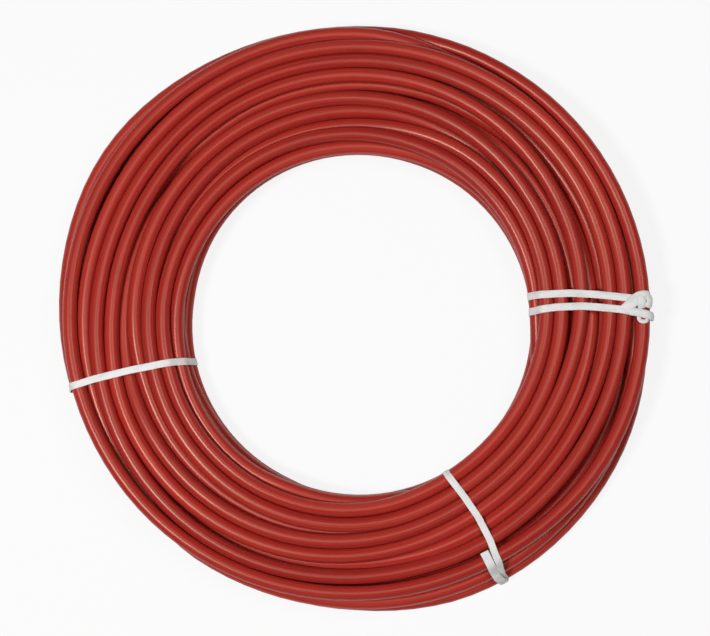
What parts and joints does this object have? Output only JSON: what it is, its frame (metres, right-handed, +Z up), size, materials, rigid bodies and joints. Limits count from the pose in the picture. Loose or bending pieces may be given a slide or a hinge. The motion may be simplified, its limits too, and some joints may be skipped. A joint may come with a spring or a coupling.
{
  "type": "plastic pipe coil",
  "caption": "Coil of plastic heating pipe lying flat, wound in lanes and layers round an open bore and held by white strips of strapping",
  "frame": {"origin": "on the coil's axis, at the level of the floor it lies on", "axes": "+Z is up and is the coil's axis; the twice-wrapped strap with the knot is near +X"},
  "size_m": [0.6708, 0.67, 0.0646],
  "materials": {
    "pipe": "satin red extruded plastic",
    "strap": "off-white thin plastic strip"
  },
  "bodies": {
    "root": {"pipe_coil": "pipe", "strap_left": "strap", "strap_lower": "strap", "strap_right": "strap"}
  },
  "joints": []
}
